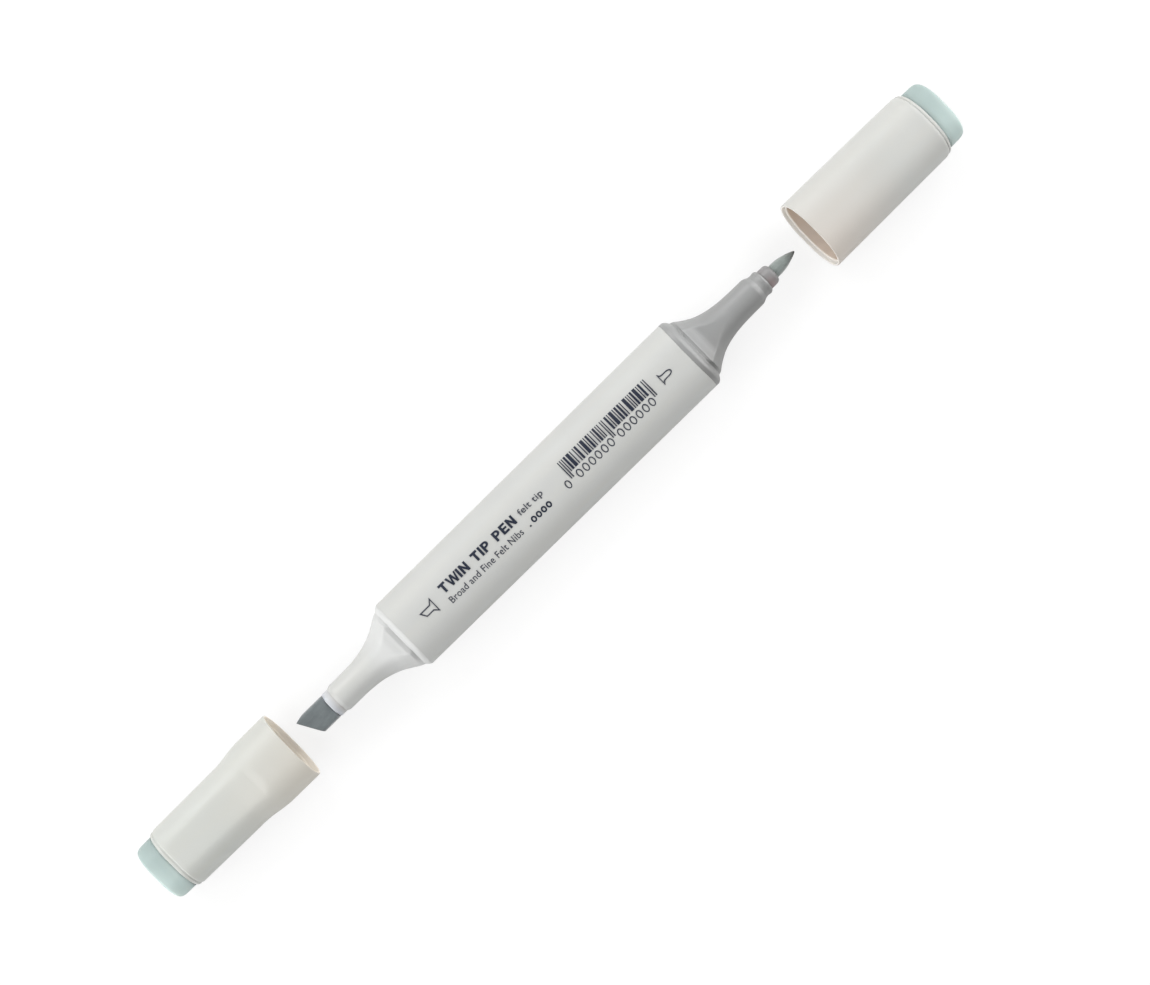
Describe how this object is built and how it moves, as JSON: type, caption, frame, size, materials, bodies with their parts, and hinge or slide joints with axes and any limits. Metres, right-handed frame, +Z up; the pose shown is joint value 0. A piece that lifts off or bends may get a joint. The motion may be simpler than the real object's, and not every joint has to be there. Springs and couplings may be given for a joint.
{
  "type": "felt tip marker",
  "caption": "Twin-tip felt tip marker: oval barrel with a broad chisel nib at one end and a fine tapered nib at the other, both push-on caps slid off in line.",
  "frame": {"origin": "middle of the footprint of barrel and both pulled-off caps, at the surface they lie on", "axes": "+X along the marker from the chisel end to the fine end, +Z up out of the printed broad face, +Y across the width"},
  "size_m": [0.2102, 0.016, 0.0123],
  "materials": {
    "barrel_plastic": "satin white moulded plastic",
    "cap_plastic": "satin warm white moulded plastic",
    "white_nozzle_plastic": "satin white moulded plastic",
    "grey_nozzle_plastic": "satin light grey moulded plastic",
    "plug_tint": "satin pale blue-green moulded plastic",
    "sleeve_plastic": "milky bluish translucent plastic",
    "broad_felt": "ink-soaked bonded fibre, blue-grey",
    "fine_felt": "ink-soaked bonded fibre, grey-green",
    "fibre": "ink-soaked fibre bundle",
    "film": "thin clear wrap",
    "liner_plastic": "soft natural plastic seal"
  },
  "bodies": {
    "barrel": {"barrel": "barrel_plastic", "chisel_nozzle": "white_nozzle_plastic", "brush_nozzle": "grey_nozzle_plastic", "chisel_nib_holder": "sleeve_plastic", "brush_nib_holder": "grey_nozzle_plastic", "chisel_nib": "broad_felt", "brush_nib": "fine_felt", "ink_reservoir": "fibre", "reservoir_film": "film"},
    "chisel_cap": {"chisel_cap_shell": "cap_plastic", "chisel_cap_liner": "liner_plastic", "chisel_cap_plug": "plug_tint"},
    "brush_cap": {"brush_cap_shell": "cap_plastic", "brush_cap_liner": "liner_plastic", "brush_cap_plug": "plug_tint"}
  },
  "joints": [
    {"name": "chisel_cap_slide", "type": "slide", "parent": "barrel", "child": "chisel_cap", "axis": [1, 0, 0], "range_m": [0, 0.02865]},
    {"name": "brush_cap_slide", "type": "slide", "parent": "barrel", "child": "brush_cap", "axis": [-1, 0, 0], "range_m": [0, 0.03185]}
  ]
}
